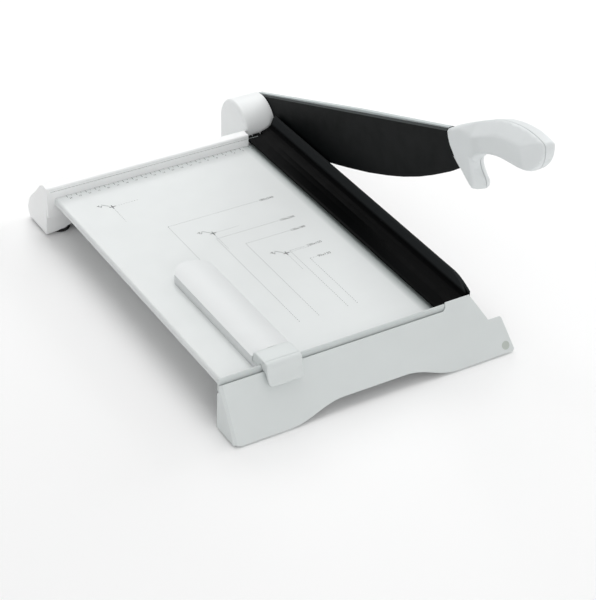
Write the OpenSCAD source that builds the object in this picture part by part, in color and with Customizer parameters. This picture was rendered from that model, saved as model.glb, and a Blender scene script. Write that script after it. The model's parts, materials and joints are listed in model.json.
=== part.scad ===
// Guillotine paper cutter: a sheet-metal table, a hinged knife arm on the right,
// a clamping guard that follows the arm, and a sliding backgauge.
// Working frame of the modules: X = 0 is the cut line (right is +X), Y = 0 is the
// paper stop nearest the operator, Z = 0 is the table top. in_place() moves that frame so
// that the origin is on the floor, under the middle of the whole machine.

/* [Table] */
// Distance between the paper stop and the side lay
cut_length = 337; // [300:1:360]
// Distance from the cut line to the left edge of the table
table_depth = 252; // [235:1:280]
// Height of the table top above the floor
table_height = 45; // [43:1:50]
// Thickness of the table sheet
sheet_t = 1.8; // [1.2:0.1:2.4]
// Height of the paper stop above the table
stop_height = 8.7; // [7:0.1:10]

/* [Knife arm] */
// Distance from the paper stop to the arm's pivot
pivot_y = 378; // [374:1:382]
// Opening angle of the arm as it stands at rest
rest_angle = 20.5; // [10:0.5:45]
// Thickness of the knife plate
knife_t = 2.5; // [2:0.1:3]
// Thickness of the arm bar beside the knife
arm_t = 4; // [3:0.1:5]
// Radius of the pivot bolt
pivot_r = 6; // [5:0.1:8]
// Half width of the handle's grip
grip_half_w = 12; // [9:0.5:13]

/* [Clamp] */
// Gap between the clamp and the table with the arm at rest
clamp_gap = 3.6; // [2.5:0.1:4.5]
// Depth of the clamp from its lip to the cut line
clamp_depth = 37.5; // [34:0.5:40]

/* [Backgauge] */
// Distance from the cut line to the backgauge's stop face at rest
gauge_x = 180; // [150:1:190]
// Width of the backgauge bar
gauge_w = 38; // [30:1:42]
// Length of the backgauge bar
gauge_l = 164; // [120:1:180]

/* [Hidden] */
$fn = 48;

// Colours
painted_grey = [0.88, 0.90, 0.90];
plastic_white = [0.93, 0.94, 0.94];
plastic_grey = [0.84, 0.86, 0.86];
coated_black = [0.06, 0.07, 0.07];
bare_steel = [0.62, 0.63, 0.64];
zinc = [0.70, 0.70, 0.68];
rubber_black = [0.05, 0.05, 0.05];

// Outer limits of the machine in the working frame
left_x = -table_depth - 7.5;
right_x = 29;
handle_tip_y = -68.5;
cover_back_y = pivot_y + 28;
origin_x = (left_x + right_x) / 2;
origin_y = (handle_tip_y + cover_back_y) / 2;

eps = 0.01;
fit = 0.05;     // radial clearance of a running fit
slack = 0.4;    // clearance of a loose fit

module in_place() {
  translate([-origin_x, -origin_y, table_height]) children();
}

// Extrudes a (Y, Z) outline along X from x0 to x1
module along_x(x0, x1) {
  translate([x0, 0, 0]) rotate([90, 0, 90]) linear_extrude(height = x1 - x0) children();
}

// Extrudes an (X, Z) outline along Y from y0 to y1
module along_y(y0, y1) {
  translate([0, y1, 0]) rotate([90, 0, 0]) linear_extrude(height = y1 - y0) children();
}

// Pan-head screw pointing up, head underneath, head's top face at the origin
module screw_up(r, length, head_r, head_h) {
  cylinder(r = r, h = length);
  difference() {
    translate([0, 0, -head_h]) cylinder(r = head_r, h = head_h);
    translate([0, 0, -head_h - eps]) cylinder(r = head_r * 0.45, h = head_h * 0.6, $fn = 6);
  }
}

// ---- Table ----
table_left = -table_depth;
blade_w = 12;                    // width of the lower blade
table_right = -blade_w - 0.2;
lip_h = 6;                       // height of the folded left edge
bend_r = 2.4;
pin_x = -21;                     // the clamp's guide pins
pin_ys = [14, cut_length - 8];
pin_r = 2.5;

module table_section() {
  translate([table_left + bend_r, -sheet_t]) square([table_right - table_left - bend_r, sheet_t]);
  translate([table_left, -lip_h]) square([sheet_t, lip_h - bend_r]);
  translate([table_left + bend_r, -bend_r]) difference() {
    circle(r = bend_r);
    circle(r = bend_r - sheet_t);
    translate([0, -bend_r]) square([bend_r, 2 * bend_r]);
    translate([-bend_r, -bend_r]) square([2 * bend_r, bend_r]);
  }
}

module table_plate() {
  color(painted_grey) in_place() difference() {
    along_y(0.2, lay_y - 0.1) table_section();
    for (y = pin_ys) translate([pin_x, y, -5]) cylinder(r = pin_r + slack, h = 10);
  }
}

// Hat section under the middle of the table, from the front flange to the housing
module table_stiffener() {
  top = -sheet_t - eps;
  color(painted_grey) in_place() along_y(24, cut_length - 10) translate([-150, 0]) polygon([
    [-22, top], [-10, top], [-10, top - 10], [10, top - 10], [10, top], [22, top],
    [22, top - 1.4], [11.4, top - 1.4], [11.4, top - 11.4], [-11.4, top - 11.4],
    [-11.4, top - 1.4], [-22, top - 1.4]
  ]);
}

// ---- Front: paper stop and sloping panel ----
front_left = table_left - 6;
stop_t = 2;
flange_d = 16;
flange_top = -sheet_t - eps;
stop_right = -31.4;
stop_screw_xs = [-225, -130, -55];
stop_screw_y = 8;

module paper_stop() {
  color(painted_grey) in_place() difference() {
    union() {
      along_x(front_left, stop_right) union() {
        translate([-stop_t, flange_top - 2]) square([stop_t, stop_height - flange_top + 2 - stop_t / 2]);
        translate([-stop_t / 2, stop_height - stop_t / 2]) circle(r = stop_t / 2);
      }
      along_x(table_left + 4, stop_right)
        translate([-stop_t, flange_top - 2]) square([flange_d + stop_t, 2]);
    }
    for (x = stop_screw_xs)
      translate([x, stop_screw_y, flange_top - 3]) cylinder(r = 2.2, h = 4);
  }
}

// The panel's outer face runs from (face_y, face_z) down and out to the floor
face_y = -1.5;
face_z = stop_height;
foot_y = -31.5;
foot_z = -(table_height - 1.5);
face_len = norm([foot_y - face_y, foot_z - face_z]);
face_tilt = atan2(face_y - foot_y, face_z - foot_z);
panel_t = 2;
fold = 2.4;                     // softening of the panel's left fold
notch_s = 5.9;                  // the long notch that bares the paper stop
notch_right = -31;
notch_r = 2.5;
arch_rise = 11.5;               // how far the middle of the lower edge is raised
arch_right = [-33, -84];        // where the lower edge starts and ends its rise, right
arch_left = [-205, -148];       // and left
step_x = 9.3;                   // the stepped cut-out that clears the handle
step_s = 26;
step_out_x = 22.9;
plug_at = [21, 53];
plug_r = 4;

function s_curve(from, to, count) = [for (i = [0:count])
  let (t = i / count) [from + (to - from) * t, face_len - arch_rise * (1 - cos(180 * t)) / 2]];

// Panel outline in its own plane: X across, s down the slope
module panel_outline() {
  difference() {
    polygon(concat(
      [[front_left, notch_s], [notch_right - notch_r, notch_s], [notch_right, notch_s - notch_r],
       [notch_right + 0.8, -1.2], [-6, -1.2], [-4, -0.2], [step_x, step_s],
       [step_out_x - 1.5, step_s], [step_out_x, step_s + 1.5],
       [right_x, face_len - 2], [right_x - 2, face_len]],
      s_curve(arch_right[0], arch_right[1], 14),
      [for (p = s_curve(arch_left[0], arch_left[1], 14)) [arch_left[0] + arch_left[1] - p[0],
        2 * face_len - arch_rise - p[1]]],
      [[front_left + 6, face_len], [front_left + 2.2, face_len - 1.1], [front_left, face_len - 3.7]]
    ));
    translate(plug_at) circle(r = plug_r);
  }
}

// Puts an (X, s) outline on the sloping face, t thick, its outer side on the face
module on_face(t) {
  translate([0, face_y, face_z]) rotate([-face_tilt, 0, 0]) rotate([90, 0, 0])
    translate([0, 0, -t]) linear_extrude(height = t) mirror([0, 1]) children();
}

front_feet = [[-236, -17], [12, -19]];
boss_tops = [-22, -34];
shelf_z = -37;
buffer_at = [8, -9];
buffer_top = -25.6;             // the closed arm comes down on the buffer

module panel_boss(at, top) {
  translate([at[0], at[1], foot_z + 0.7]) cylinder(r = 7, h = top - foot_z - 0.7);
}

// Everything behind a plane that lies out in front of the panel's outer face
module behind_face(out) {
  up = 2;
  dy = out * cos(face_tilt);
  dz = out * sin(face_tilt);
  along_x(-400, 100) polygon([
    [face_y + up * sin(face_tilt) - dy, face_z + up * cos(face_tilt) + dz],
    [foot_y - dy, foot_z + dz], [60, foot_z + dz], [60, face_z + up * cos(face_tilt) + dz]
  ]);
}

module front_panel() {
  color(plastic_grey) in_place() difference() {
    union() {
      on_face(panel_t) panel_outline();
      intersection() {
        union() {
          // Return at the left end
          along_x(front_left, front_left + 2.2) polygon([
            [-20, stop_height - notch_s - 0.7], [-stop_t - 0.1, stop_height - notch_s - 0.7],
            [-stop_t - 0.1, -7], [0.4, -7], [1.4, foot_z], [foot_y + 3.2, foot_z],
            [foot_y + 1.9, foot_z + 3.2], [-40, foot_z + 3.2]
          ]);
          // Lip that closes the paper stop beside the cut line
          along_x(notch_right + 1.2, -4) polygon([
            [-20, -6], [-20, face_z + 0.9], [3, face_z + 0.9], [3, -6]
          ]);
          // Tabs under the paper stop's flange
          for (x = stop_screw_xs) translate([x - 9, -9, flange_top - 4.2]) cube([18, 22, 2.1]);
          // Tab beside the blade bar
          translate([-13, -30, -32]) cube([6.1, 50, 18]);
          // Bosses for the feet and the shelf for the arm's buffer
          for (i = [0, 1]) panel_boss(front_feet[i], boss_tops[i]);
          translate([0.6, -34, shelf_z]) cube([14.6, 36, 3]);
        }
        behind_face(-0.3);
      }
    }
    // Softened fold between the face and the return
    translate([front_left, face_y, face_z]) rotate([-face_tilt, 0, 0]) rotate([90, 0, 0])
      rotate([90, 0, 0]) linear_extrude(height = face_len + 10)
        polygon([[-1, -fold - 1], [-1, 1], [fold + 1, 1]]);
    translate([-40, -0.1, -6.5]) cube([80, 20, 40]);
    for (x = stop_screw_xs)
      translate([x, stop_screw_y, flange_top - 8]) cylinder(r = 2.2, h = 8);
    for (p = front_feet) translate([p[0], p[1], foot_z]) cylinder(r = 1.9, h = 14);
    translate([buffer_at[0], buffer_at[1], shelf_z - 1]) cylinder(r = 2, h = 6);
    translate([-14, bar_screw_ys[0], bar_screw_z]) rotate([0, 90, 0]) cylinder(r = 2.1, h = 8);
  }
}

module panel_plug() {
  color([0.78, 0.80, 0.78]) in_place() difference() {
    translate([plug_at[0], face_y, face_z]) rotate([-face_tilt, 0, 0])
      translate([0, 0, -plug_at[1]]) rotate([90, 0, 0]) union() {
        translate([0, 0, -panel_t]) cylinder(r = plug_r - fit, h = panel_t);
        translate([0, 0, -panel_t - 2]) cylinder(r = plug_r + 0.8, h = 2);
      }
    // Room for the boss of the foot beside it
    translate([front_feet[1][0], front_feet[1][1], foot_z]) cylinder(r = 7.2, h = 14);
  }
}

module stop_screws() {
  color(zinc) in_place() for (x = stop_screw_xs)
    translate([x, stop_screw_y, flange_top - 4.25]) screw_up(2, 4.2, 3.8, 2.2);
}

module arm_buffer() {
  color(rubber_black) in_place() translate([buffer_at[0], buffer_at[1], 0]) union() {
    translate([0, 0, shelf_z + 3]) cylinder(r = 5, h = buffer_top - shelf_z - 3);
    translate([0, 0, shelf_z]) cylinder(r = 1.9, h = 4);
    translate([0, 0, shelf_z - 2.5]) cylinder(r = 3.2, h = 2.5);
  }
}

// ---- Rear housing, side lay and hinge cover ----
lay_y = cut_length;              // the side lay's face
lay_t = 3;
lay_top = 12;
housing_y = lay_y + lay_t;
housing_bottom = -(table_height - 2.6);
wall = 2.2;
cover_r = 28.5;
cover_at = [pivot_y - 0.5, 0];
cover_x = [-33.5, -0.5];
cover_foot = -30;
guard_left = -clamp_depth;
guard_far = lay_y + 8.5;
rear_feet = [[-241, 354], [-16, 370]];
foot_r = [8, 10];                // front and rear feet
cover_screw_at = [-17, -12];

// Housing outline (Y, Z): a low ramp that falls away to the back
module housing_outline(inset) {
  polygon([
    [housing_y + inset, lay_top - 0.4 - inset], [housing_y + 6, lay_top - inset],
    [housing_y + 14, lay_top - 4.6 - inset], [housing_y + 25 - inset / 2, -4.5 - inset],
    [housing_y + 37 - inset, -16 - inset / 2], [housing_y + 44 - inset, -25.5],
    [housing_y + 46.6 - inset, -32], [housing_y + 46.6 - inset, -36],
    [housing_y + 43 - inset, housing_bottom], [housing_y + 4 + inset, housing_bottom],
    [housing_y + inset, -8]
  ]);
}

// Room over the table's far edge for the clamp's end
module clamp_room() {
  translate([guard_left - 1.2, 0, -1]) cube([60, guard_far + 1, 60]);
}

module rear_housing() {
  right = cover_x[0] - 0.4;
  color(plastic_white) in_place() difference() {
    union() {
      difference() {
        along_x(left_x, right) housing_outline(0);
        along_x(left_x + wall, right - wall) housing_outline(wall);
        translate([left_x + wall, housing_y + 4 + wall, housing_bottom - 1])
          cube([right - left_x - 2 * wall, 39 - 2 * wall, 2]);
        // Raised lower edge between the feet
        along_y(housing_y - 5, housing_y + 10) polygon([
          [-256, housing_bottom - 1], [-256, housing_bottom], [-247, housing_bottom + 0.9],
          [-239, housing_bottom + 3.4], [-230, housing_bottom + 6], [-222, housing_bottom + 7],
          [-70, housing_bottom + 7], [-58, housing_bottom], [-58, housing_bottom - 1]
        ]);
      }
      intersection() {
        translate([rear_feet[0][0], rear_feet[0][1], housing_bottom]) cylinder(r = 8, h = 60);
        along_x(left_x, right) housing_outline(0);
      }
      for (x = lay_screw_xs) translate([x, housing_y + 1, lay_screw_z]) rotate([-90, 0, 0])
        cylinder(r = 4, h = 10);
    }
    clamp_room();
    for (x = lay_screw_xs) translate([x, housing_y - 1, lay_screw_z]) rotate([-90, 0, 0])
      cylinder(r = 1.9, h = 10);
    translate([rear_feet[0][0], rear_feet[0][1], housing_bottom - 1]) cylinder(r = 1.9, h = 14);
  }
}

lay_screw_xs = [-220, -60];
lay_screw_z = -14;

// The side lay stands at the table's far edge, with a flange under the sheet
module side_lay() {
  color(painted_grey) in_place() difference() {
    union() {
      along_x(left_x, guard_left - 1.2) polygon([
        [lay_y, -20], [lay_y, lay_top - 1], [lay_y + 1, lay_top], [housing_y - 0.1, lay_top],
        [housing_y - 0.1, -20]
      ]);
      along_x(guard_left - 1.3, -31.2)
        translate([lay_y, -20]) square([lay_t - 0.1, 18]);
      along_x(table_left + 4, -31.2)
        translate([lay_y - 8, -sheet_t - 2.1]) square([9, 2]);
    }
    for (x = lay_screw_xs)
      translate([x, lay_y - 1, lay_screw_z]) rotate([-90, 0, 0]) cylinder(r = 2.2, h = 8);
  }
}

module side_lay_screws() {
  color(zinc) in_place() for (x = lay_screw_xs)
    translate([x, lay_y - 0.05, lay_screw_z]) rotate([-90, 0, 0]) screw_up(1.85, 10, 3.6, 2);
}

// Cover outline (Y, Z): half round above, straight below
module cover_outline(r) {
  translate(cover_at) circle(r = r, $fn = 96);
  translate([cover_at[0] - r, cover_foot]) square([2 * r, cover_at[1] - cover_foot]);
}

module hinge_cover() {
  color(plastic_white) in_place() difference() {
    union() {
      difference() {
        union() {
          along_x(cover_x[0] + 1.7, cover_x[1]) cover_outline(cover_r);
          along_x(cover_x[0] + 0.5, cover_x[0] + 1.8) cover_outline(cover_r - 1);
          along_x(cover_x[0], cover_x[0] + 0.6) cover_outline(cover_r - 2.6);
        }
        translate([0, 0, -1]) along_x(cover_x[0] + 2.6, 5) cover_outline(cover_r - wall);
        // Open at the front, below the clamp and the table
        translate([-100, 0, -60]) cube([200, housing_y + 11.4, 61.5]);
      }
      translate([cover_screw_at[0], pivot_y + 14.1, cover_screw_at[1]]) rotate([-90, 0, 0])
        cylinder(r = 6, h = 12.4);
    }
    translate([cover_screw_at[0], pivot_y, cover_screw_at[1]]) rotate([-90, 0, 0])
      cylinder(r = 2, h = 40);
    translate([cover_screw_at[0], pivot_y + 24, cover_screw_at[1]]) rotate([-90, 0, 0])
      cylinder(r = 3.8, h = 10);
  }
}

module cover_screw() {
  color(zinc) in_place() translate([cover_screw_at[0], pivot_y + 24.05, cover_screw_at[1]])
    rotate([90, 0, 0]) screw_up(1.9, 20, 3.5, 2.2);
}

// ---- Knife seat ----
bar_right = -0.8;
web_left = -6.8;
blade_screw_x = -9.6;
blade_screw_ys = [30, 110, 190, 270, 318];
bar_screw_ys = [10, 326, 338];
bar_screw_z = -22;

module blade_bar() {
  color(coated_black) in_place() difference() {
    along_y(1, guard_far) polygon([
      [-30, -sheet_t - eps], [table_right - 0.1, -sheet_t - eps], [table_right - 0.1, -5.01],
      [bar_right, -5.01], [bar_right, -34], [web_left, -34], [web_left, -9], [-30, -9]
    ]);
    for (y = pin_ys) translate([pin_x, y, -12]) cylinder(r = pin_r + fit, h = 14);
    for (y = blade_screw_ys) translate([blade_screw_x, y, -12]) cylinder(r = 1.65, h = 8);
    for (y = bar_screw_ys) translate([-10, y, bar_screw_z]) rotate([0, 90, 0]) {
      cylinder(r = 2.1, h = 14);
      translate([0, 0, 6.5]) cylinder(r = 3.8, h = 6);
    }
  }
}

module lower_blade() {
  color(bare_steel) in_place() difference() {
    along_y(0.2, guard_far) polygon([
      [-blade_w, 0], [0, 0], [0, -3.4], [-0.6, -5], [-blade_w, -5]
    ]);
    for (y = blade_screw_ys) translate([blade_screw_x, y, -6]) cylinder(r = 1.65, h = 4);
  }
}

// Screws come up through the bar's flange into the blade
module lower_blade_screws() {
  color(zinc) in_place() for (y = blade_screw_ys)
    translate([blade_screw_x, y, -9.05]) screw_up(1.6, 6.6, 2.5, 2);
}

// Screws that hold the bar's web to the front panel and to the hinge bracket
module bar_screws() {
  color(zinc) in_place() for (y = bar_screw_ys)
    translate([-3.5, y, bar_screw_z]) rotate([0, -90, 0]) screw_up(2.05, 9.5, 3.7, 2.4);
}

// ---- Hinge ----
bracket_x = [-27, -7.2];
arm_left = knife_t + 0.11;       // the arm bar starts at the knife's right side
arm_right = arm_left + arm_t;
hub_right = arm_right + 5;
bushing_r = pivot_r + 2;

module hinge_bracket() {
  color(coated_black) in_place() difference() {
    union() {
      along_x(bracket_x[0], bracket_x[1]) union() {
        polygon([
          [housing_y + 7, housing_bottom], [pivot_y + 25, housing_bottom], [pivot_y + 25, -34],
          [pivot_y + 14, -26], [pivot_y + 14, 0], [pivot_y - 13, 0], [pivot_y - 17, -34],
          [housing_y + 7, -34]
        ]);
        translate([pivot_y, 0]) circle(r = 14);
      }
      // Arm that reaches the blade bar's web
      translate([-14.8, 318, -36]) cube([7.95, 47, 22]);
      translate([-7.3, pivot_y, 0]) rotate([0, 90, 0]) cylinder(r = 11, h = 6);
    }
    translate([-40, pivot_y, 0]) rotate([0, 90, 0]) cylinder(r = pivot_r + fit, h = 60);
    for (i = [1, 2]) translate([-24, bar_screw_ys[i], bar_screw_z]) rotate([0, 90, 0])
      cylinder(r = 2.1, h = 20);
    translate([rear_feet[1][0], rear_feet[1][1], housing_bottom - 1]) cylinder(r = 1.9, h = 14);
    translate([cover_screw_at[0], pivot_y + 4, cover_screw_at[1]]) rotate([-90, 0, 0])
      cylinder(r = 1.95, h = 20);
    // Counterbore for the nut
    translate([bracket_x[0] - 1, pivot_y, 0]) rotate([0, 90, 0]) cylinder(r = 10.5, h = 7);
  }
}

module pivot_bolt() {
  color(bare_steel) in_place() translate([0, pivot_y, 0]) rotate([0, 90, 0]) union() {
    translate([0, 0, bracket_x[0] - 1]) cylinder(r = pivot_r, h = hub_right + 3.4 - bracket_x[0] + 1);
    difference() {
      translate([0, 0, hub_right + 2.4]) cylinder(r = 10, h = 4.6);
      translate([0, 0, hub_right + 4.4]) cylinder(r = 5.2, h = 4, $fn = 6);
    }
  }
}

// Two cupped washers and a flat one between the hub and the bolt's head
module disc_springs() {
  color(zinc) in_place() translate([0, pivot_y, 0]) rotate([0, 90, 0]) for (i = [0:1])
    translate([0, 0, hub_right + 0.1 + i * 1.15]) rotate_extrude() polygon(i == 0
      ? [[pivot_r + 0.1, 0], [11, 0], [11, 0.9], [pivot_r + 0.1, 0.9]]
      : [[pivot_r + 0.1, 0], [11.5, 0], [11, 1], [pivot_r + 0.1, 1]]);
}

module pivot_nut() {
  color(zinc) in_place() translate([bracket_x[0] + 0.4, pivot_y, 0]) rotate([0, 90, 0])
    difference() {
      cylinder(r = 10, h = 5.5, $fn = 6);
      translate([0, 0, -1]) cylinder(r = pivot_r + 0.02, h = 8);
    }
}

module rubber_feet() {
  color(rubber_black) in_place() for (p = concat(front_feet, rear_feet)) {
    rear = p[1] > 100;
    r = foot_r[rear ? 1 : 0];
    top = rear ? housing_bottom : foot_z + 0.7;
    translate([p[0], p[1], -table_height]) difference() {
      union() {
        cylinder(r1 = r - 0.6, r2 = r, h = 1.2);
        translate([0, 0, 1.2]) cylinder(r = r, h = top + table_height - 1.2);
      }
      translate([0, 0, -1]) cylinder(r = 2.2, h = 8);
      translate([0, 0, -1]) cylinder(r = 4, h = 1.8);
    }
  }
}

module foot_screws() {
  color(zinc) in_place() for (p = concat(front_feet, rear_feet))
    translate([p[0], p[1], -table_height + 1]) union() {
      translate([0, 0, -0.25]) cylinder(r = 1.85, h = 12.25);
      translate([0, 0, -0.85]) cylinder(r = 3.4, h = 0.65);
    }
}

// ---- Clamp ----
wall_x = -8.5;                   // crease between the clamp's trough and its wall
wall_top = 20.5;
module guard_section() {
  polygon([
    [guard_left, clamp_gap], [guard_left + 0.2, clamp_gap + 1.6], [guard_left + 2, clamp_gap + 2.1],
    [-31, 5.7], [-25, 5.8], [-19, 6.4], [-14, 7.8], [-11, 9.2], [wall_x, 11.2],
    [-5.4, 18.6], [-4.9, 19.6], [-4, wall_top - 0.2], [-3.2, wall_top], [-2.3, wall_top - 0.7],
    [-2, wall_top - 1.8], [-2, clamp_gap + 0.6], [-4.2, clamp_gap + 0.6], [-4.2, 16.4],
    [-7.2, 9.6], [-10.4, 7.2], [-14, 5.8], [-19, 4.4], [-25, 3.9 + eps], [-31, 3.9],
    [-35, clamp_gap]
  ]);
}

spring_foot = -24.4;             // the springs push the clamp's collars down from the bar
spring_top = -9.1;

module clamp_guard() {
  round_l = 34;                  // the wall's near end is rounded down over this length
  drop = 9;
  round_r = (round_l * round_l + drop * drop) / (2 * drop);
  color(coated_black) in_place() difference() {
    along_y(1, guard_far) guard_section();
    // Rounded near end
    along_x(-12, 5) difference() {
      translate([-1, wall_top - drop - 1]) square([round_l + 2, drop + 5]);
      translate([round_l + 1, wall_top - round_r]) circle(r = round_r, $fn = 240);
    }
    // Notches at the far end
    for (x = [-31, -22]) translate([x, guard_far - 5, 0]) cube([2.2, 6, 12]);
    for (y = pin_ys) translate([pin_x, y, 0]) cylinder(r = pin_r, h = 4.6);
  }
}

module clamp_pad() {
  color(rubber_black) in_place() along_y(3, guard_far - 5) polygon([
    [-18, clamp_gap], [-18, 4.66], [-14, 5.78], [-13, 6.13], [-13, clamp_gap]
  ]);
}

module guide_pins() {
  color(bare_steel) in_place() for (y = pin_ys) translate([pin_x, y, -27]) cylinder(r = pin_r, h = 31.5);
}

module pin_collars() {
  color(zinc) in_place() for (y = pin_ys) translate([pin_x, y, -26.5]) difference() {
    cylinder(r = 5.6, h = 2);
    translate([0, 0, -1]) cylinder(r = pin_r + 0.01, h = 4);
  }
}

// Each spring is drawn as a corrugated sleeve of the same outline
module clamp_springs() {
  turns = 6;
  pitch = (spring_top - spring_foot) / turns;
  color(bare_steel) in_place() for (y = pin_ys) translate([pin_x, y, spring_foot])
    rotate_extrude() polygon(concat(
      [for (i = [0:turns - 1]) each [[3.4, pitch * i], [4.7, pitch * (i + 0.25)],
        [4.7, pitch * (i + 0.5)], [3.4, pitch * (i + 0.75)]]],
      [[3.4, pitch * turns], [2.9, pitch * turns]],
      [for (i = [turns - 1:-1:0]) each [[2.9, pitch * (i + 0.75)], [4.1, pitch * (i + 0.5)],
        [4.1, pitch * (i + 0.25)], [2.9, pitch * i]]]
    ));
}

// ---- Knife arm: (u, w) outlines, u away from the pivot, w up when closed ----
blade_gap = 0.1;                 // between the knife and the lower blade
module arm_frame(x0, x1) {
  translate([0, pivot_y, 0]) rotate([-rest_angle, 0, 0])
    along_x(x0, x1) mirror([1, 0]) children();
}

knife_top = 26.5;
arm_top = 27.6;
root_r = 26;
module upper_blade() {
  color(coated_black) in_place() difference() {
    arm_frame(blade_gap, knife_t + blade_gap) union() {
      circle(r = root_r);
      polygon([
        [1, knife_top - 0.6], [351.6, knife_top], [352.2, 20], [353.2, 12.2], [357, 3.5],
        [362, -2.6], [379, -2.6], [379.6, -3.4], [372, -5.6], [362, -8.2], [349, -12.4],
        [321, -19], [295, -24], [268, -27.6], [240, -30], [205, -31.6], [165, -31.6],
        [120, -30.6], [60, -28.4], [4, -25.4]
      ]);
    }
    arm_frame(-1, 5) circle(r = bushing_r + 1);
    arm_frame(1.2, 5) for (p = rivet_at) translate(p) circle(r = rivet_r);
    // Bevel along the back of the knife
    translate([0, pivot_y, 0]) rotate([-rest_angle, 0, 0]) along_y(-355, -2) polygon([
      [-1, knife_top - 2.9], [-1, knife_top + 2], [2, knife_top + 2], [2, knife_top + 0.1]
    ]);
  }
}

rivet_at = [[46, 12], [120, 14], [200, 14], [280, 14], [340, 14]];
rivet_r = 2.5;

module knife_arm() {
  color(coated_black) in_place() difference() {
    union() {
      arm_frame(arm_left, arm_right) union() {
        circle(r = root_r + 1);
        polygon([
          [0, arm_top - 0.8], [200, arm_top + 1], [356, arm_top], [360, 25], [470, 25], [474, 21], [474, 15],
          [470, 12], [400, 12], [388, 9], [352, 6], [330, -6], [260, -13], [160, -15], [80, -18], [6, -root_r]
        ]);
      }
      arm_frame(arm_right - eps, hub_right) circle(r = 17);
    }
    arm_frame(-1, 40) circle(r = bushing_r);
    arm_frame(-1, 20) for (p = rivet_at) translate(p) circle(r = rivet_r);
    arm_frame(-1, 20) for (p = handle_screw_at) translate(p) circle(r = 2.3);
  }
}

module blade_rivets() {
  color(zinc) in_place() union() {
    arm_frame(1.25, arm_right + 0.1) for (p = rivet_at) translate(p) circle(r = rivet_r - fit);
    arm_frame(arm_right + 0.05, arm_right + 1.4) for (p = rivet_at) translate(p) circle(r = 4.5);
  }
}

module arm_bushing() {
  color([0.72, 0.58, 0.30]) in_place() arm_frame(-1.2, hub_right) difference() {
    circle(r = bushing_r - 0.01);
    circle(r = pivot_r + fit);
  }
}

// ---- Handle ----
split_x = 9;                     // the two halves meet in this plane
prong_right = split_x + 6;
handle_screw_at = [[374, 17], [450, 18]];

// Side view of the whole handle
module handle_outline() {
  polygon([
    [352, 25], [358.5, 28.6], [372, 31.6], [386, 34.4], [402, 37.2], [418, 39.4], [432, 40.2],
    [446, 39.4], [458, 37.2], [469, 33.4], [477, 29], [482.6, 23.8], [483.4, 20], [482, 14],
    [478, 7], [472, 2.6], [464, 1.4], [454, 3], [442, 6], [428, 8.6], [414, 9.6], [402, 9],
    [392, 6.6], [384.6, 2], [383.6, -3], [386.5, -9.4], [391.6, -17.4], [392.4, -20.6],
    [391, -23.8], [388, -25], [383, -25.2], [380, -24.6], [377.4, -22.6], [370, -13.6], [363.4, -5.2],
    [357.4, 3.6], [353.4, 12], [352.4, 19]
  ]);
}

// Outline that bulges sideways from x0 to x1 in shrinking layers
module bulge(x0, x1) {
  layers = 4;
  middle = [434, 21];
  for (i = [0:layers - 1]) {
    near = x0 + (x1 - x0) * i / layers;
    far = x0 + (x1 - x0) * (i + 1) / layers;
    arm_frame(min(near, far) - (i == 0 ? 0 : eps), max(near, far) + (i == 0 ? 0 : eps))
      translate(middle) scale(1 - 0.22 * i * i / (layers * layers)) translate(-middle) grip_cheek();
  }
}

// Space that the prong must leave so that it slips behind the front panel as the arm closes
module prong_relief() {
  translate([0, pivot_y, 0]) rotate([-rest_angle, 0, 0]) translate([0, -pivot_y, 0]) intersection() {
    behind_face(0.6);
    translate([0, 0, -60]) linear_extrude(height = 120) polygon([
      [-4, -40], [-4, 1.3], [split_x + 0.3, -12.2], [40, -12.2], [40, -40]
    ]);
  }
}

// Side cheek that widens the grip beyond the prong
module grip_cheek() {
  polygon([
    [392, 12], [400, 13], [414, 13.4], [428, 12.4], [442, 9.8], [454, 7], [464, 5.6], [470, 8],
    [475, 14], [476, 20], [472, 26], [462, 31.6], [448, 34.4], [432, 34.8], [416, 33.6], [402, 30.6],
    [392, 26]
  ]);
}

module handle_left() {
  color(plastic_grey) in_place() difference() {
    union() {
      arm_frame(0.3, split_x - 0.05) handle_outline();
      bulge(1, split_x - grip_half_w);
    }
    // Slots for the arm's tang and the end of the knife
    arm_frame(arm_left - 0.1, arm_right + 0.1) polygon([
      [340, arm_top + 0.2], [356.2, arm_top + 0.2], [360.2, 25.2], [470.2, 25.2], [474.2, 21],
      [474.2, 15], [470.2, 10.8], [352, 5.8], [340, 5]
    ]);
    arm_frame(-1, arm_left) polygon([
      [340, 30], [351.8, 30], [352.4, 20], [353.4, 12.2], [357.2, 3.7], [362.1, -2.4],
      [379.2, -2.4], [380, -3.4], [372, -6], [362, -8.8], [340, -14]
    ]);
    arm_frame(1.5, 20) for (p = handle_screw_at) translate(p) circle(r = 1.9);
    prong_relief();
  }
}

module handle_right() {
  color(plastic_grey) in_place() difference() {
    union() {
      arm_frame(split_x + 0.05, prong_right - 1) handle_outline();
      bulge(prong_right - 1, split_x + grip_half_w);
    }
    arm_frame(split_x - 1, 40) for (p = handle_screw_at) translate(p) circle(r = 1.95);
    arm_frame(split_x + 4, 40) for (p = handle_screw_at) translate(p) circle(r = 3.8);
    prong_relief();
  }
}

module handle_screws() {
  color(zinc) in_place() union() {
    arm_frame(1.6, split_x + 4.1) for (p = handle_screw_at) translate(p) circle(r = 1.85);
    arm_frame(split_x + 4.05, split_x + 6) for (p = handle_screw_at) translate(p) circle(r = 3.6);
  }
}

// ---- Backgauge ----
gauge_right = -gauge_x;
gauge_left = gauge_right - gauge_w;
gauge_edge_h = 9;
gauge_top = 12.6;
head_x = [gauge_left + 1, gauge_right - 2.5];
lever_x = [gauge_left + 0.5, gauge_right - 1];
cheek = 3;                      // width of the head's cheeks on both sides of the lever's drum
drum_r = 4.4;
pin_inset = 1;
pin_at = [-7.2, 9.6];            // the lever's pin (Y, Z)
pin_lever_r = 1.5;

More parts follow.
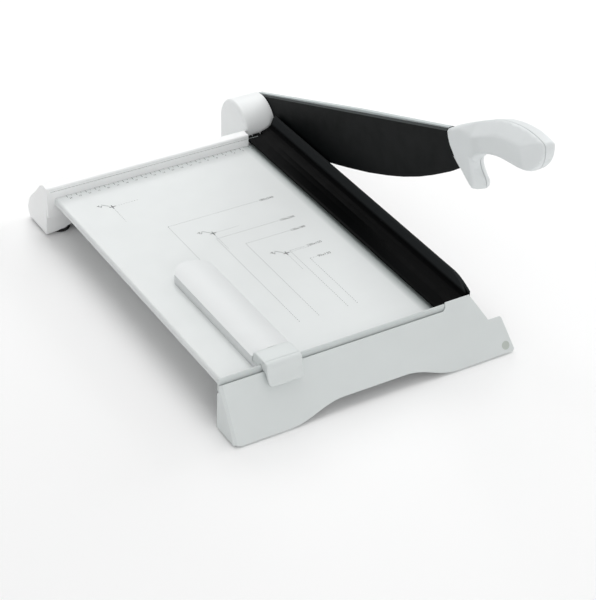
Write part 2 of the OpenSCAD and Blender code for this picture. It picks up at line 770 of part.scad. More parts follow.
// Crowned bar section (X, Z)
module gauge_section() {
  crown = gauge_top - gauge_edge_h;
  half = gauge_w / 2;
  crown_r = (half * half + crown * crown) / (2 * crown);
  intersection() {
    translate([gauge_left, 0.25]) square([gauge_w, 20]);
    translate([gauge_left + half, gauge_top - crown_r]) circle(r = crown_r, $fn = 180);
  }
}

module gauge_bar() {
  color(plastic_white) in_place() difference() {
    intersection() {
      along_y(0.4, gauge_l) gauge_section();
      // Rounded far end in plan
      translate([0, 0, -1]) linear_extrude(height = 20) union() {
        translate([gauge_left, -1]) square([gauge_w, gauge_l - 9]);
        translate([gauge_left + 14, gauge_l - 14]) circle(r = 14);
        translate([gauge_right - 12, gauge_l - 14]) circle(r = 12);
        translate([gauge_left + 14, gauge_l - 16]) square([gauge_w - 26, 14]);
      }
    }
    // Hollow underneath
    translate([gauge_left + 2.2, 16, 0]) cube([gauge_w - 4.4, gauge_l - 32, 7]);
    translate([gauge_left - 1, -1, 4]) cube([gauge_w + 2, 14.2, 20]);
    for (x = gauge_screw_xs) translate([x, 8, 0]) cylinder(r = 1.9, h = 5);
  }
}

gauge_screw_xs = [gauge_left + 10, gauge_right - 11];

// The head straddles the paper stop; the lever's drum turns between its cheeks
module gauge_head() {
  room_w = head_x[1] - head_x[0] - 2 * cheek;
  color(plastic_white) in_place() difference() {
    along_x(head_x[0], head_x[1]) union() {
      polygon([
        [13, 4.05], [13, 12.8], [11, 13.6], [6, 13.95], [pin_at[0], pin_at[1] + drum_r],
        [-8, 9.6], [-5, 7.6], [-3, stop_height + 0.5], [0.5, stop_height + 0.5], [0.5, 4.05]
      ]);
      translate(pin_at) circle(r = drum_r);
    }
    for (x = gauge_screw_xs) translate([x, 8, 0]) cylinder(r = 1.6, h = 11);
    // Room for the lever's drum
    translate([head_x[0] + cheek, pin_at[0], pin_at[1]]) rotate([0, 90, 0])
      cylinder(r = drum_r + 0.3, h = room_w);
    translate([head_x[0] + cheek, -14, -2]) cube([room_w, 9.2, 20]);
    translate([head_x[0] + pin_inset, pin_at[0], pin_at[1]]) rotate([0, 90, 0])
      cylinder(r = pin_lever_r, h = head_x[1] - head_x[0] - 2 * pin_inset);
  }
}

module gauge_screws() {
  color(zinc) in_place() for (x = gauge_screw_xs) translate([x, 8, 1.6]) union() {
    cylinder(r = 1.55, h = 8);
    translate([0, 0, -0.8]) cylinder(r = 1.85, h = 0.9);
  }
}

module lever_pin() {
  color(bare_steel) in_place()
    translate([head_x[0] + pin_inset + 0.1, pin_at[0], pin_at[1]]) rotate([0, 90, 0])
      cylinder(r = pin_lever_r - 0.01, h = head_x[1] - head_x[0] - 2 * pin_inset - 0.2);
}

// Lever: its drum turns on the pin, its tab hangs in front of the panel
module lock_lever() {
  color(plastic_white) in_place() difference() {
    union() {
      along_x(head_x[0] + cheek + 0.3, head_x[1] - cheek - 0.3) union() {
        translate(pin_at) circle(r = drum_r);
        polygon([[-11.5, 9.2], [-12, 6.6], [-12.4, 3.6], [-9.4, 3.4], [-6.5, 5.4]]);
      }
      along_x(lever_x[0], lever_x[1]) polygon([
        [-12.2, 4.8], [-12.5, 3.6], [-14.2, -0.4], [-16, -4.6], [-15.8, -5.8], [-14.6, -6],
        [-11.4, -0.6], [-9.4, 3.2], [-9.2, 4.6]
      ]);
    }
    translate([head_x[0], pin_at[0], pin_at[1]]) rotate([0, 90, 0])
      cylinder(r = pin_lever_r + fit, h = 60);
    // Rounded lower corners
    for (s = [0, 1]) translate([s == 0 ? lever_x[0] : lever_x[1], 0, -6.2]) rotate([90, 0, 0])
      linear_extrude(height = 30) difference() {
        translate([s == 0 ? -1 : -5, -1]) square([6, 6]);
        translate([s == 0 ? 5 : -5, 5]) circle(r = 5);
      }
  }
}

table_plate();
table_stiffener();
paper_stop();
front_panel();
panel_plug();
stop_screws();
rear_housing();
side_lay();
side_lay_screws();
blade_bar();
lower_blade();
lower_blade_screws();
bar_screws();
hinge_bracket();
pivot_bolt();
disc_springs();
pivot_nut();
hinge_cover();
cover_screw();
rubber_feet();
foot_screws();
arm_buffer();
clamp_springs();
clamp_guard();
clamp_pad();
guide_pins();
pin_collars();
knife_arm();
upper_blade();
blade_rivets();
arm_bushing();
handle_left();
handle_right();
handle_screws();
gauge_bar();
gauge_head();
gauge_screws();
lever_pin();
lock_lever();
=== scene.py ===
import bpy
import bmesh
import json
import math
from mathutils import Vector, Matrix
from mathutils.geometry import delaunay_2d_cdt


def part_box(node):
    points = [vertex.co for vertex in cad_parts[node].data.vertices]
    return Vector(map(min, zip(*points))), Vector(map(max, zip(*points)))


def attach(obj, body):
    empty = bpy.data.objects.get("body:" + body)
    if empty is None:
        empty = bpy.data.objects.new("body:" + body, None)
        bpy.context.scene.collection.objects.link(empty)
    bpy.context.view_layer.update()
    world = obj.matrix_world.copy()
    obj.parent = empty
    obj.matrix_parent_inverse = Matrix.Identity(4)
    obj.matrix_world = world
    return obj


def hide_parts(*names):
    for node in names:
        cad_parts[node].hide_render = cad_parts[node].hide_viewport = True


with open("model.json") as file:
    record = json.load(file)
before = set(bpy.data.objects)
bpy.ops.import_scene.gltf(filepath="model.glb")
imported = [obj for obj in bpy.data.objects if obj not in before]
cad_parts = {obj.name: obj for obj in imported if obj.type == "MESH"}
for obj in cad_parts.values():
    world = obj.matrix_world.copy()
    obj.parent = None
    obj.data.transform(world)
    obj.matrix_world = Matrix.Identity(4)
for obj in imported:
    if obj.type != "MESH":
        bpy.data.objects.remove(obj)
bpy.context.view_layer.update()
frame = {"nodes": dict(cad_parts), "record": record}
nodes = frame["nodes"]
slot_of = {s["node"]: s["material_slot"] for s in frame["record"]["subparts"]}

MM = 0.001
STOP_T = 2.0                    # the paper stop's thickness
# Origin of the working frame in the row frame: cut line, paper stop's face, table top
CUT_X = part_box("lower_blade")[1][0]
STOP_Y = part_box("paper_stop")[0][1] + STOP_T * MM
TABLE_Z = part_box("lower_blade")[1][2]


def at(x, y, z):
    """Working frame in mm to the row frame in metres."""
    return Vector((CUT_X + x * MM, STOP_Y + y * MM, TABLE_Z + z * MM))


# ------------------------------------------------------------------ meshes
def mesh_object(name, verts, faces, look, smooth=True):
    mesh = bpy.data.meshes.new(name)
    mesh.from_pydata([tuple(v) for v in verts], [], faces)
    mesh.validate()
    mesh.update()
    mesh.materials.append(look)
    for poly in mesh.polygons:
        poly.use_smooth = smooth
    ob = bpy.data.objects.new(name, mesh)
    bpy.context.scene.collection.objects.link(ob)
    return ob


def face_outwards(ob, largest_face=None):
    """Turns all normals outwards, and first cuts faces with more corners than that into triangles."""
    bm = bmesh.new()
    bm.from_mesh(ob.data)
    if largest_face:
        many = [f for f in bm.faces if len(f.verts) > largest_face]
        bmesh.ops.triangulate(bm, faces=many)
    bmesh.ops.recalc_face_normals(bm, faces=bm.faces)
    bm.to_mesh(ob.data)
    bm.free()


def sharpen(ob, degrees):
    """Smooth shading breaks at edges above this angle."""
    split = ob.modifiers.new("split", "EDGE_SPLIT")
    split.split_angle = math.radians(degrees)


def round_edges(ob, width, degrees):
    bevel = ob.modifiers.new("bevel", "BEVEL")
    bevel.width = width * MM
    bevel.segments = 3
    bevel.limit_method = "ANGLE"
    bevel.angle_limit = math.radians(degrees)
    bevel.harden_normals = True
    bevel.miter_outer = "MITER_ARC"


# ------------------------------------------------------------------ materials
ROUGH_SPREAD = 0.06             # roughness wanders this much both ways
BUMP_DEPTH = 0.00005            # depth of the surface grain in metres


def shader(tree, kind, **values):
    """A new shader node; each value goes to the input of that name, with _ for a space."""
    node = tree.nodes.new("ShaderNode" + kind)
    for key, value in values.items():
        node.inputs[key.replace("_", " ")].default_value = value
    return node


def noise(tree, mapping, scale, detail, roughness=0.55):
    node = shader(tree, "TexNoise", Scale=scale, Detail=detail, Roughness=roughness)
    tree.links.new(mapping.outputs["Vector"], node.inputs["Vector"])
    return node.outputs["Fac"]


def spread(tree, value, lo, hi, start=0.3, end=0.7):
    """Maps start..end of a value to lo..hi."""
    node = shader(tree, "MapRange", From_Min=start, From_Max=end, To_Min=lo, To_Max=hi)
    tree.links.new(value, node.inputs["Value"])
    return node.outputs["Result"]


def mixed(tree, a, b, factor):
    """Mixes two colours; the first may be another node's output."""
    node = tree.nodes.new("ShaderNodeMix")
    node.data_type = "RGBA"
    if isinstance(a, tuple):
        node.inputs["A"].default_value = (*a, 1)
    else:
        tree.links.new(a, node.inputs["A"])
    node.inputs["B"].default_value = (*b, 1)
    tree.links.new(factor, node.inputs["Factor"])
    return node.outputs["Result"]


def scuffed(tree, coord, color, wear, wear_color):
    """Thin streaks where a stretched noise crosses its upper range."""
    mapping = shader(tree, "Mapping", Scale=(1.0, 0.12, 1.0), Rotation=(0.3, 0.2, 0.5))
    tree.links.new(coord.outputs["Object"], mapping.inputs["Vector"])
    streaks = noise(tree, mapping, 420.0, 6.0, 0.5)
    return mixed(tree, color, wear_color, spread(tree, streaks, 0.0, wear, 0.66, 0.76))


def material(name, color, rough, metal=0.0, specular=0.5, tint=0.05, tint_scale=25.0,
             grain=0.02, grain_scale=1800.0, stretch=(1, 1, 1), wear=0.0, wear_color=None):
    """Base colour that wanders by tint, uneven roughness, fine grain and optional scuffs."""
    look = bpy.data.materials.new(name)
    look.use_nodes = True
    tree = look.node_tree
    tree.nodes.clear()
    out = shader(tree, "OutputMaterial")
    bsdf = shader(tree, "BsdfPrincipled", Metallic=metal, Specular_IOR_Level=specular)
    tree.links.new(bsdf.outputs["BSDF"], out.inputs["Surface"])
    coord = shader(tree, "TexCoord")
    mapping = shader(tree, "Mapping", Scale=stretch)
    tree.links.new(coord.outputs["Object"], mapping.inputs["Vector"])

    dark = tuple(c * (1 - tint) for c in color)
    light = tuple(min(1.0, c * (1 + tint)) for c in color)
    cloud = noise(tree, mapping, tint_scale, 5.0)
    base = mixed(tree, dark, light, spread(tree, cloud, 0.0, 1.0))
    if wear > 0:
        base = scuffed(tree, coord, base, wear, wear_color)
    tree.links.new(base, bsdf.inputs["Base Color"])

    patches = noise(tree, mapping, 60.0, 5.0)
    roughness = spread(tree, patches, rough - ROUGH_SPREAD, rough + ROUGH_SPREAD)
    tree.links.new(roughness, bsdf.inputs["Roughness"])

    bump = shader(tree, "Bump", Strength=grain, Distance=BUMP_DEPTH)
    tree.links.new(noise(tree, mapping, grain_scale, 3.0, 0.6), bump.inputs["Height"])
    tree.links.new(bump.outputs["Normal"], bsdf.inputs["Normal"])
    return look


def painted(name, color, tint, worn):
    return material(name, color, 0.42, tint=tint, grain=0.25, grain_scale=2600, wear=0.05,
                    wear_color=(worn, worn, worn))


def moulded(name, color, rough=0.42, tint=0.012, grain=0.25, wear=0.03, worn=0.6):
    return material(name, color, rough, tint=tint, grain=grain, grain_scale=3200, wear=wear,
                    wear_color=(worn, worn, worn))


def coated(name, color, rough, specular, grain, worn):
    return material(name, color, rough, specular=specular, tint=0.15, grain=grain,
                    grain_scale=2200, wear=0.03, wear_color=worn)


def bare_metal(name, color, rough, tint=0.08, grain=0.2, **more):
    return material(name, color, rough, metal=1.0, tint=tint, grain=grain, **more)


looks = {
    "painted_table": painted("table_paint", (0.735, 0.76, 0.757), 0.012, 0.9),
    "painted_stop": painted("stop_paint", (0.63, 0.665, 0.66), 0.02, 0.8),
    "galvanised_sheet": bare_metal("zinc_sheet", (0.5, 0.51, 0.51), 0.4, tint=0.12,
                                   tint_scale=90),
    "grey_plastic": moulded("grey_plastic", (0.70, 0.735, 0.73), 0.46, tint=0.015, grain=0.3,
                            wear=0.04, worn=0.8),
    "handle_plastic": moulded("handle_plastic", (0.76, 0.79, 0.795), 0.40, tint=0.02,
                              grain=0.3, wear=0.05, worn=0.7),
    "plug_plastic": material("plug_plastic", (0.50, 0.54, 0.50), 0.5, tint=0.03, grain=0.3),
    "white_plastic": moulded("white_plastic", (0.76, 0.78, 0.782)),
    # Painted light: a lighter copy of the white plastic that brightens the shaded front faces of the
    # rear housing and side lay
    "housing_plastic_painted_light": moulded("housing_plastic_painted_light", (0.93, 0.94, 0.94)),
    "cover_plastic": moulded("cover_plastic", (0.84, 0.86, 0.86)),
    "head_plastic": moulded("head_plastic", (0.70, 0.735, 0.73), worn=0.8),
    # Painted sheen: a slightly lighter black for the knife's upward-facing upper edge
    "bevel_painted_sheen": material("bevel_painted_sheen", (0.035, 0.042, 0.043), 0.35, specular=0.3,
                            tint=0.1, grain=0.2),
    # Painted shadow: a dark grey line for the shade along the side lay's top edge
    "edge_shadow": material("seam_shadow", (0.25, 0.27, 0.27), 0.7, tint=0.1, grain=0.2),
    "black_coating": coated("black_coat", (0.0012, 0.0014, 0.0015), 0.34, 0.02, 0.3,
                            (0.02, 0.022, 0.022)),
    "knife_coating": coated("knife_coat", (0.0025, 0.0033, 0.0036), 0.40, 0.07, 0.25,
                            (0.05, 0.055, 0.055)),
    "blade_steel": bare_metal("blade_steel", (0.46, 0.47, 0.48), 0.28, tint=0.06, grain=0.35,
                              grain_scale=900, stretch=(1, 0.03, 1)),
    "pivot_steel": bare_metal("pivot_steel", (0.45, 0.45, 0.46), 0.3, tint=0.06),
    "zinc_screws": bare_metal("zinc_screw", (0.55, 0.54, 0.50), 0.32),
    "bushing_brass": bare_metal("brass", (0.62, 0.46, 0.2), 0.3),
    "black_rubber": material("rubber", (0.012, 0.012, 0.012), 0.75, tint=0.2, grain=0.5,
                             grain_scale=1500),
    "print": material("print_ink", (0.03, 0.035, 0.035), 0.5, tint=0.2, grain=0.2),
    "print_pale": material("print_ink_pale", (0.13, 0.15, 0.15), 0.5, tint=0.08, grain=0.2),
}

# ------------------------------------------------------------------ CAD nodes
EDGE_ANGLE = 35
EDGE_WIDTH = {
    "table_plate": 0.25, "paper_stop": 0.25, "front_panel": 0.7, "rear_housing": 0.9,
    "side_lay": 0.5, "clamp_guard": 0.35, "lower_blade": 0.15, "knife_arm": 0.4,
    "upper_blade": 0.2, "gauge_bar": 2.0, "blade_bar": 0.3, "hinge_bracket": 0.5,
}
# Painted light: the rear housing and side lay take a lighter copy of the white plastic, brightening
# their shaded front faces
OTHER_LOOK = {"rear_housing": "housing_plastic_painted_light", "side_lay": "housing_plastic_painted_light"}


def dress(name, ob):
    mesh = ob.data
    mesh.materials.clear()
    mesh.materials.append(looks[OTHER_LOOK.get(name, slot_of[name])])
    for poly in mesh.polygons:
        poly.material_index = 0
        poly.use_smooth = True
    if name in EDGE_WIDTH:
        round_edges(ob, EDGE_WIDTH[name], EDGE_ANGLE)
    else:
        sharpen(ob, EDGE_ANGLE)


for node_name, node_ob in nodes.items():
    dress(node_name, node_ob)

# ------------------------------------------------------------------ printed table
INK_LIFT = 0.04                 # lines lie this far above the table
TEXT_LIFT = 0.045
DASH, DASH_GAP = 1.6, 1.2
lines = {"print": ([], []), "print_pale": ([], [])}
labels = []


def line(look, a, b, width):
    """A printed line from a to b (x, y) in the working frame."""
    verts, faces = lines[look]
    a, b = Vector(a), Vector(b)
    along = (b - a).normalized()
    side = Vector((-along.y, along.x)) * width / 2
    first = len(verts)
    for p in (a - side, b - side, b + side, a + side):
        verts.append(at(p.x, p.y, INK_LIFT))
    faces.append((first, first + 1, first + 2, first + 3))


def dashed(a, b, width):
    a, b = Vector(a), Vector(b)
    length = (b - a).length
    start = 0.0
    while start < length:
        end = min(start + DASH, length)
        line("print_pale", a + (b - a) * start / length, a + (b - a) * end / length, width)
        start += DASH + DASH_GAP


def photo_format(width, height):
    """Left and far edge of a photo format that lies against the cut line and the stop."""
    near_end, right_end = 48, -83
    dashed((-width, near_end), (-width, height), 0.35)
    dashed((-width, height), (right_end, height), 0.35)
    labels.append((f"{width}x{height}", right_end + 1, height - 1.6, 4.6, 0))


def sheet_mark(label, x, y):
    """Cross at a paper sheet's corner, with faint tails and a leader to its name."""
    arm, down, up, tail = 3.2, 3.4, 3.0, 0.28
    line("print", (x - arm, y), (x + arm, y), 0.9)
    line("print", (x, y - down), (x, y + up), 0.9)
    dashed((x + arm, y), (x + 28, y), tail)
    dashed((x, y - down), (x, y - 30), tail)
    line("print_pale", (x - 2.0, y + 2.0), (x - 8, y + 8), 0.6)
    labels.append((label, x - 13.5, y + 6.8, 4.4, -45))


def ruler(first, last, step=10):
    """Ticks and numbers along the side lay, with half ticks between them."""
    tick_far = 336.6
    for i in range(first, last + 1):
        x = -step * i
        line("print_pale", (x, tick_far - 4), (x, tick_far), 0.5)
        labels.append((str(i), x + 0.8, tick_far - 7.2, 2.9, 0))
        if i < last:
            line("print_pale", (x - step / 2, tick_far - 2.2), (x - step / 2, tick_far), 0.35)


def label_curve(i, body, x, y, size, angle):
    curve = bpy.data.curves.new(f"label_{i}", "FONT")
    curve.body = body
    curve.size = size * MM
    curve.resolution_u = 2
    ob = bpy.data.objects.new(f"label_{i}", curve)
    bpy.context.scene.collection.objects.link(ob)
    ob.location = at(x, y, TEXT_LIFT)
    ob.rotation_euler = (0, 0, math.radians(angle))
    return ob


def join_labels(name):
    """All labels as one flat mesh."""
    curves = [label_curve(i, *label) for i, label in enumerate(labels)]
    bpy.context.view_layer.update()
    depsgraph = bpy.context.evaluated_depsgraph_get()
    bm = bmesh.new()
    for ob in curves:
        part = bpy.data.meshes.new_from_object(ob.evaluated_get(depsgraph))
        part.transform(ob.matrix_world)
        bm.from_mesh(part)
        bpy.data.meshes.remove(part)
    for ob in curves:
        bpy.data.objects.remove(ob)
    mesh = bpy.data.meshes.new(name)
    bm.to_mesh(mesh)
    bm.free()
    mesh.materials.append(looks["print"])
    joined = bpy.data.objects.new(name, mesh)
    bpy.context.scene.collection.objects.link(joined)
    return joined


for paper_w, paper_h in ((180, 240), (150, 200), (130, 180), (100, 150), (90, 130)):
    photo_format(paper_w, paper_h)
for sheet in (("A4", -210, 297), ("A5", -148, 210), ("A6", -105, 148)):
    sheet_mark(*sheet)
ruler(4, 24)

marks = mesh_object("printed_marks", *lines["print"], looks["print"], smooth=False)
formats = mesh_object("printed_formats", *lines["print_pale"], looks["print_pale"],
                      smooth=False)
for printed in (marks, formats, join_labels("printed_numbers")):
    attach(printed, "base")

# ------------------------------------------------------------------ arm frame
PIVOT_Y = 378.0
REST = math.radians(20.5)


def arm_point(x, u, w):
    """Arm frame (u outwards from the pivot, w up when closed) to the row frame at rest."""
    return at(x, PIVOT_Y - (u * math.cos(REST) - w * math.sin(REST)),
              u * math.sin(REST) + w * math.cos(REST))


def arm_uw(p):
    """Row frame to the arm frame's (u, w) at rest."""
    out = PIVOT_Y - (p.y - STOP_Y) / MM
    up = (p.z - TABLE_Z) / MM
    return (out * math.cos(REST) + up * math.sin(REST),
            up * math.cos(REST) - out * math.sin(REST))


# ------------------------------------------------------------------ handle: two moulded halves
# Outline in (u, w), clockwise, starting at the rear end of the top
top_line = [(352.4, 25.0), (358.8, 28.7), (372, 31.5), (384, 33.8), (400, 36.7), (417, 39.1),
            (430, 40.1), (442, 39.5), (454, 37.6), (465, 34.6), (475, 30.2), (481, 26.6)]
tip_line = [(483.4, 24.4), (484, 21.5), (483.2, 17.6), (480.6, 11.6), (477, 6.6),
            (472.4, 3.0), (467, 1.2)]
under_line = [(460, 1.9), (452, 3.6), (444, 5.6), (436, 7.5), (428, 8.9), (419, 9.5),
              (410, 9.3), (402, 8.2), (395, 6.4), (389.6, 3.9), (386.4, 1.2), (385.0, -1.2)]
prong_front = [(384.8, -4.2), (385.6, -7.6), (387.2, -11.4), (389.0, -14.8), (390.1, -17.6),
               (390.1, -20.6), (389.4, -23.4), (387.4, -25.0)]
prong_end = [(384, -25.4), (380.4, -25.2)]
rear_line = [(376.6, -21.6), (370, -13.4), (363.2, -5.0), (357.4, 3.5), (353.4, 12.0),
             (352.2, 19)]

SPLIT_X = 9.0                   # the halves meet in this plane
SEAM = 0.27                     # half the gap between them
RIM_STEP = 1.1
GRID_STEP = 1.25
GRID_U, GRID_W = (350.0, 486.0), (-27.0, 42.0)
GRID_CLEAR = 0.45               # grid points keep this far from the rim
MIN_HEIGHT = 0.12
GRIP_U, GRIP_W = (386, 408), (-2, 6)    # the neck and prong swell to the grip over these
SHOULDER_U = (360, 392)         # the shoulder fades in over this stretch
TIP_U, TIP_LEAN, TIP_W = 484.6, 0.10, 13
PANEL_Y, PANEL_Z = 0.867, 0.498         # slope of the front panel
# Sizes that differ between the halves: rises from the neck to the grip, slope of the end
LEFT = {"side": -1, "neck": 8.7, "grip": 3.1, "shoulder": 5.0, "shoulder_grip": 6.0,
        "end_slope": 0.56}
RIGHT = {"side": 1, "neck": 5.0, "grip": 6.9, "shoulder": 1.6, "shoulder_grip": 0.0,
         "end_slope": 4.0}


def vectors(points):
    return [Vector(p) for p in points]


def cut_corners(points):
    """One round of corner cutting on a closed outline."""
    out = []
    for i, a in enumerate(points):
        b = points[(i + 1) % len(points)]
        out += [a.lerp(b, 0.25), a.lerp(b, 0.75)]
    return out


def refine(points, step):
    """A closed outline with points about a step apart."""
    out = []
    for i, a in enumerate(points):
        b = points[(i + 1) % len(points)]
        count = max(1, int((b - a).length / step))
        out += [a.lerp(b, j / count) for j in range(count)]
    return out


def distance(p, outline):
    best = 1e9
    for a, b in zip(outline, outline[1:]):
        d = b - a
        t = max(0.0, min(1.0, (p - a).dot(d) / max(d.length_squared, 1e-9)))
        best = min(best, (p - a - d * t).length)
    return best


def inside(p, outline):
    odd = False
    for i, a in enumerate(outline):
        b = outline[i - 1]
        if (a.y > p.y) != (b.y > p.y) and p.x < (b.x - a.x) * (p.y - a.y) / (b.y - a.y) + a.x:
            odd = not odd
    return odd


def soft_min(a, b, k):
    h = max(k - abs(a - b), 0.0) / k
    return min(a, b) - h * h * k * 0.25


def soft_step(x, a, b):
    t = max(0.0, min(1.0, (x - a) / (b - a)))
    return t * t * (3 - 2 * t)


rim = refine(cut_corners(vectors(top_line + tip_line + under_line + prong_front + prong_end
                                 + rear_line)), RIM_STEP)
soft_rim = vectors(top_line[1:] + tip_line + under_line + prong_front + prong_end)
rear_rim = vectors([prong_end[-1]] + rear_line + top_line[:2])
top_rim = vectors(top_line[1:])


def half_height(p, half):
    """How far a half's surface stands off the parting plane at (u, w)."""
    u, w = p.x, p.y
    grip = soft_step(u, *GRIP_U) * soft_step(w, *GRIP_W)
    full = half["neck"] + half["grip"] * grip
    # Quarter round along the outline, except at the rear edge
    edge = 0.5
    round_r = 3.2 + 1.2 * grip
    t = min(distance(p, soft_rim) / round_r, 1.0)
    h = edge + (full - edge) * math.sqrt(max(0.0, 1 - (1 - t) ** 2))
    # Broad sloping shoulder along the top of the grip
    if u > 356:
        fade = soft_step(u, *SHOULDER_U)
        low = 1.6
        wide = half["shoulder"] + half["shoulder_grip"] * fade
        slope = (full - low) / wide
        h = soft_min(h, low + slope * distance(p, top_rim) + (1 - fade) * 6.0, 1.6)
    # Flat facet at the end
    to_tip = TIP_U - u - TIP_LEAN * (w - TIP_W)
    h = soft_min(h, 0.8 + to_tip * half["end_slope"], 1.0)
    # Small break along the rear edge
    h = min(h, full - 0.4 * (1 - min(distance(p, rear_rim) / 0.5, 1.0)))
    # Relief on the prong, which goes behind the sloping front panel when the arm closes
    if half is LEFT:
        depth = PANEL_Y * (PIVOT_Y - u + 1.5) - PANEL_Z * (w - 8.7)
        limit = 13.0 - 0.985 * (u - 376.7) + 4 * max(0.0, -(depth + 0.6))
        h = soft_min(h, limit, 0.8)
    return max(h, MIN_HEIGHT)


def grid_inside(outline):
    """Staggered points inside the outline, clear of its edge."""
    closed = outline + outline[:1]
    points = []
    u = GRID_U[0]
    row = 0
    while u < GRID_U[1]:
        w = GRID_W[0] + (GRID_STEP / 2 if row % 2 else 0)
        while w < GRID_W[1]:
            p = Vector((u, w))
            if inside(p, outline) and distance(p, closed) > GRID_CLEAR:
                points.append(p)
            w += GRID_STEP
        u += GRID_STEP * 0.9
        row += 1
    return points


def handle_half(name, half, node):
    count = len(rim)
    edges = [(i, (i + 1) % count) for i in range(count)]
    flat, _, tris, _, _, _ = delaunay_2d_cdt(rim + grid_inside(rim), edges, [], 1, 1e-5)
    side = half["side"]
    outer = [arm_point(SPLIT_X + side * (SEAM + half_height(p, half)), p.x, p.y) for p in flat]
    inner = [arm_point(SPLIT_X + side * SEAM, p.x, p.y) for p in flat]
    base = len(flat)
    faces = []
    borders = set()
    for t in tris:
        a, b, c = (flat[i] for i in t)
        t = tuple(t) if (b - a).cross(c - a) >= 0 else (t[0], t[2], t[1])
        faces.append(t)
        faces.append(tuple(base + i for i in t[::-1]))
        borders.update((t[i], t[(i + 1) % 3]) for i in range(3))
    for a, b in sorted(borders):
        if (b, a) not in borders:
            faces.append((a, base + a, base + b, b))
    ob = mesh_object(name, outer + inner, faces, looks["handle_plastic"])
    face_outwards(ob)
    sharpen(ob, 50)
    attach(ob, "arm")
    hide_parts(node)


handle_half("handle_shell_left", LEFT, "handle_left")
handle_half("handle_shell_right", RIGHT, "handle_right")


# ------------------------------------------------------------------ second colours on CAD nodes
def plane_of(ob, point, normal):
    """A row frame plane in the object's own space, as (normal, offset)."""
    inverse = ob.matrix_world.inverted()
    n = (inverse.to_3x3() @ normal).normalized()
    return n, n.dot(inverse @ point)


def split_look(node, base, other, planes, width, name):
    """Base look whose colour turns to another one past all the planes (point, normal)."""
    ob = nodes[node]
    look = looks[base].copy()
    look.name = name
    tree = look.node_tree
    bsdf = next(n for n in tree.nodes if n.type == "BSDF_PRINCIPLED")
    coord = next(n for n in tree.nodes if n.type == "TEX_COORD")
    past = None
    for point, direction in planes:
        normal, offset = plane_of(ob, point, direction)
        dot = tree.nodes.new("ShaderNodeVectorMath")
        dot.operation = "DOT_PRODUCT"
        dot.inputs[1].default_value = normal
        tree.links.new(coord.outputs["Object"], dot.inputs[0])
        beyond = spread(tree, dot.outputs["Value"], 0.0, 1.0, offset - width, offset + width)
        if past:
            both = tree.nodes.new("ShaderNodeMath")
            both.operation = "MINIMUM"
            tree.links.new(beyond, both.inputs[0])
            tree.links.new(past, both.inputs[1])
            beyond = both.outputs["Value"]
        past = beyond
    color = bsdf.inputs["Base Color"].links[0].from_socket
    tree.links.new(mixed(tree, color, other, past), bsdf.inputs["Base Color"])
    ob.data.materials[0] = look


def paint(node, look, wanted):
    """Gives the faces that wanted(u, w, lift) picks another look; lift is how far they face up."""
    ob = nodes[node]
    ob.data.materials.append(looks[look])
    index = len(ob.data.materials) - 1
    up = Vector((0, math.sin(REST), math.cos(REST)))
    for poly in ob.data.polygons:
        u, w = arm_uw(ob.matrix_world @ poly.center)
        normal = (ob.matrix_world.to_3x3() @ poly.normal).normalized()
        if wanted(u, w, normal.dot(up)):
            poly.material_index = index


SHARP_SPLIT = 0.0002            # half the width of a crisp colour edge in metres
arm_up = arm_point(0, 0, 1) - arm_point(0, 0, 0)
arm_inwards = arm_point(0, 0, 0) - arm_point(0, 1, 0)

# The knife's nose takes the handle's colour past the handle's rear edge
rear_start = arm_point(0, *rear_line[2])
rear_along = arm_point(0, *rear_line[1]) - rear_start
past_rear = Vector((1, 0, 0)).cross(rear_along).normalized()
if past_rear.dot(-arm_inwards) < 0:
    past_rear = -past_rear
split_look("upper_blade", "knife_coating", (0.72, 0.75, 0.755),
           [(rear_start, past_rear), (arm_point(0, 358, 2.5), -arm_up)],
           SHARP_SPLIT, "knife_coat_and_nose")
# Painted shadow: the table's colour darkens softly towards the guard's lip, a painted shadow band
# beside it
split_look("table_plate", "painted_table", (0.33, 0.37, 0.365),
           [(at(-41.6, 0, 0), Vector((1, 0, 0)))], 0.0052, "table_paint_painted_shadow")
# Painted reflection: the guard's upper wall is lighter, standing for a soft reflection; its trough is
# deep black
split_look("clamp_guard", "black_coating", (0.020, 0.022, 0.023),
           [(at(-7, 0, 12.6), Vector((0.35, 0, 0.94)))], 0.0012, "guard_coat_painted_reflection")
# Painted sheen: the knife's upper edge, where it faces up, is a little lighter
paint("upper_blade", "bevel_painted_sheen", lambda u, w, lift: lift > 0.3 and w > 22)
# The arm's back edge is light grey as far as the handle
split_look("knife_arm", "knife_coating", (0.55, 0.60, 0.60),
           [(arm_point(0, 200, 25.2), arm_up), (arm_point(0, 353, 20), arm_inwards)],
           SHARP_SPLIT, "arm_with_light_back")

# ------------------------------------------------------------------ backgauge head and lever
PIN = Vector((-7.2, 9.6))       # the lever's pin (Y, Z)
DRUM_R = 4.9
DRUM_GAP = 0.15
END_ROUND = 1.3
ROUND_STEPS = 6
TAB_CORNER_R = 5.0
TAB_CORNER_TOP = -1.2


def arc(radius, start, end, count):
    """Points around the pin, angles in degrees."""
    angles = [math.radians(start + (end - start) * k / count) for k in range(count + 1)]
    return [(PIN.x + radius * math.cos(a), PIN.y + radius * math.sin(a)) for a in angles]


def inward_steps(points, keep):
    """Unit steps into the outline at each point, zero at the points in keep."""
    count = len(points)
    area = sum(points[i - 1].x * points[i].y - points[i].x * points[i - 1].y
               for i in range(count))
    sign = 1 if area > 0 else -1
    steps = []
    for i in range(count):
        along = (points[(i + 1) % count] - points[i - 1]).normalized()
        size = 0.0 if i in keep else sign
        steps.append(Vector((-along.y, along.x)) * size)
    return steps


def no_cut(z):
    return 0.0


def corner_cut(z):
    """How far the tab's ends curve in at height z, for its rounded lower corners."""
    if z >= TAB_CORNER_TOP:
        return 0.0
    return TAB_CORNER_R - math.sqrt(max(0.2, TAB_CORNER_R ** 2 - (TAB_CORNER_TOP - z) ** 2))


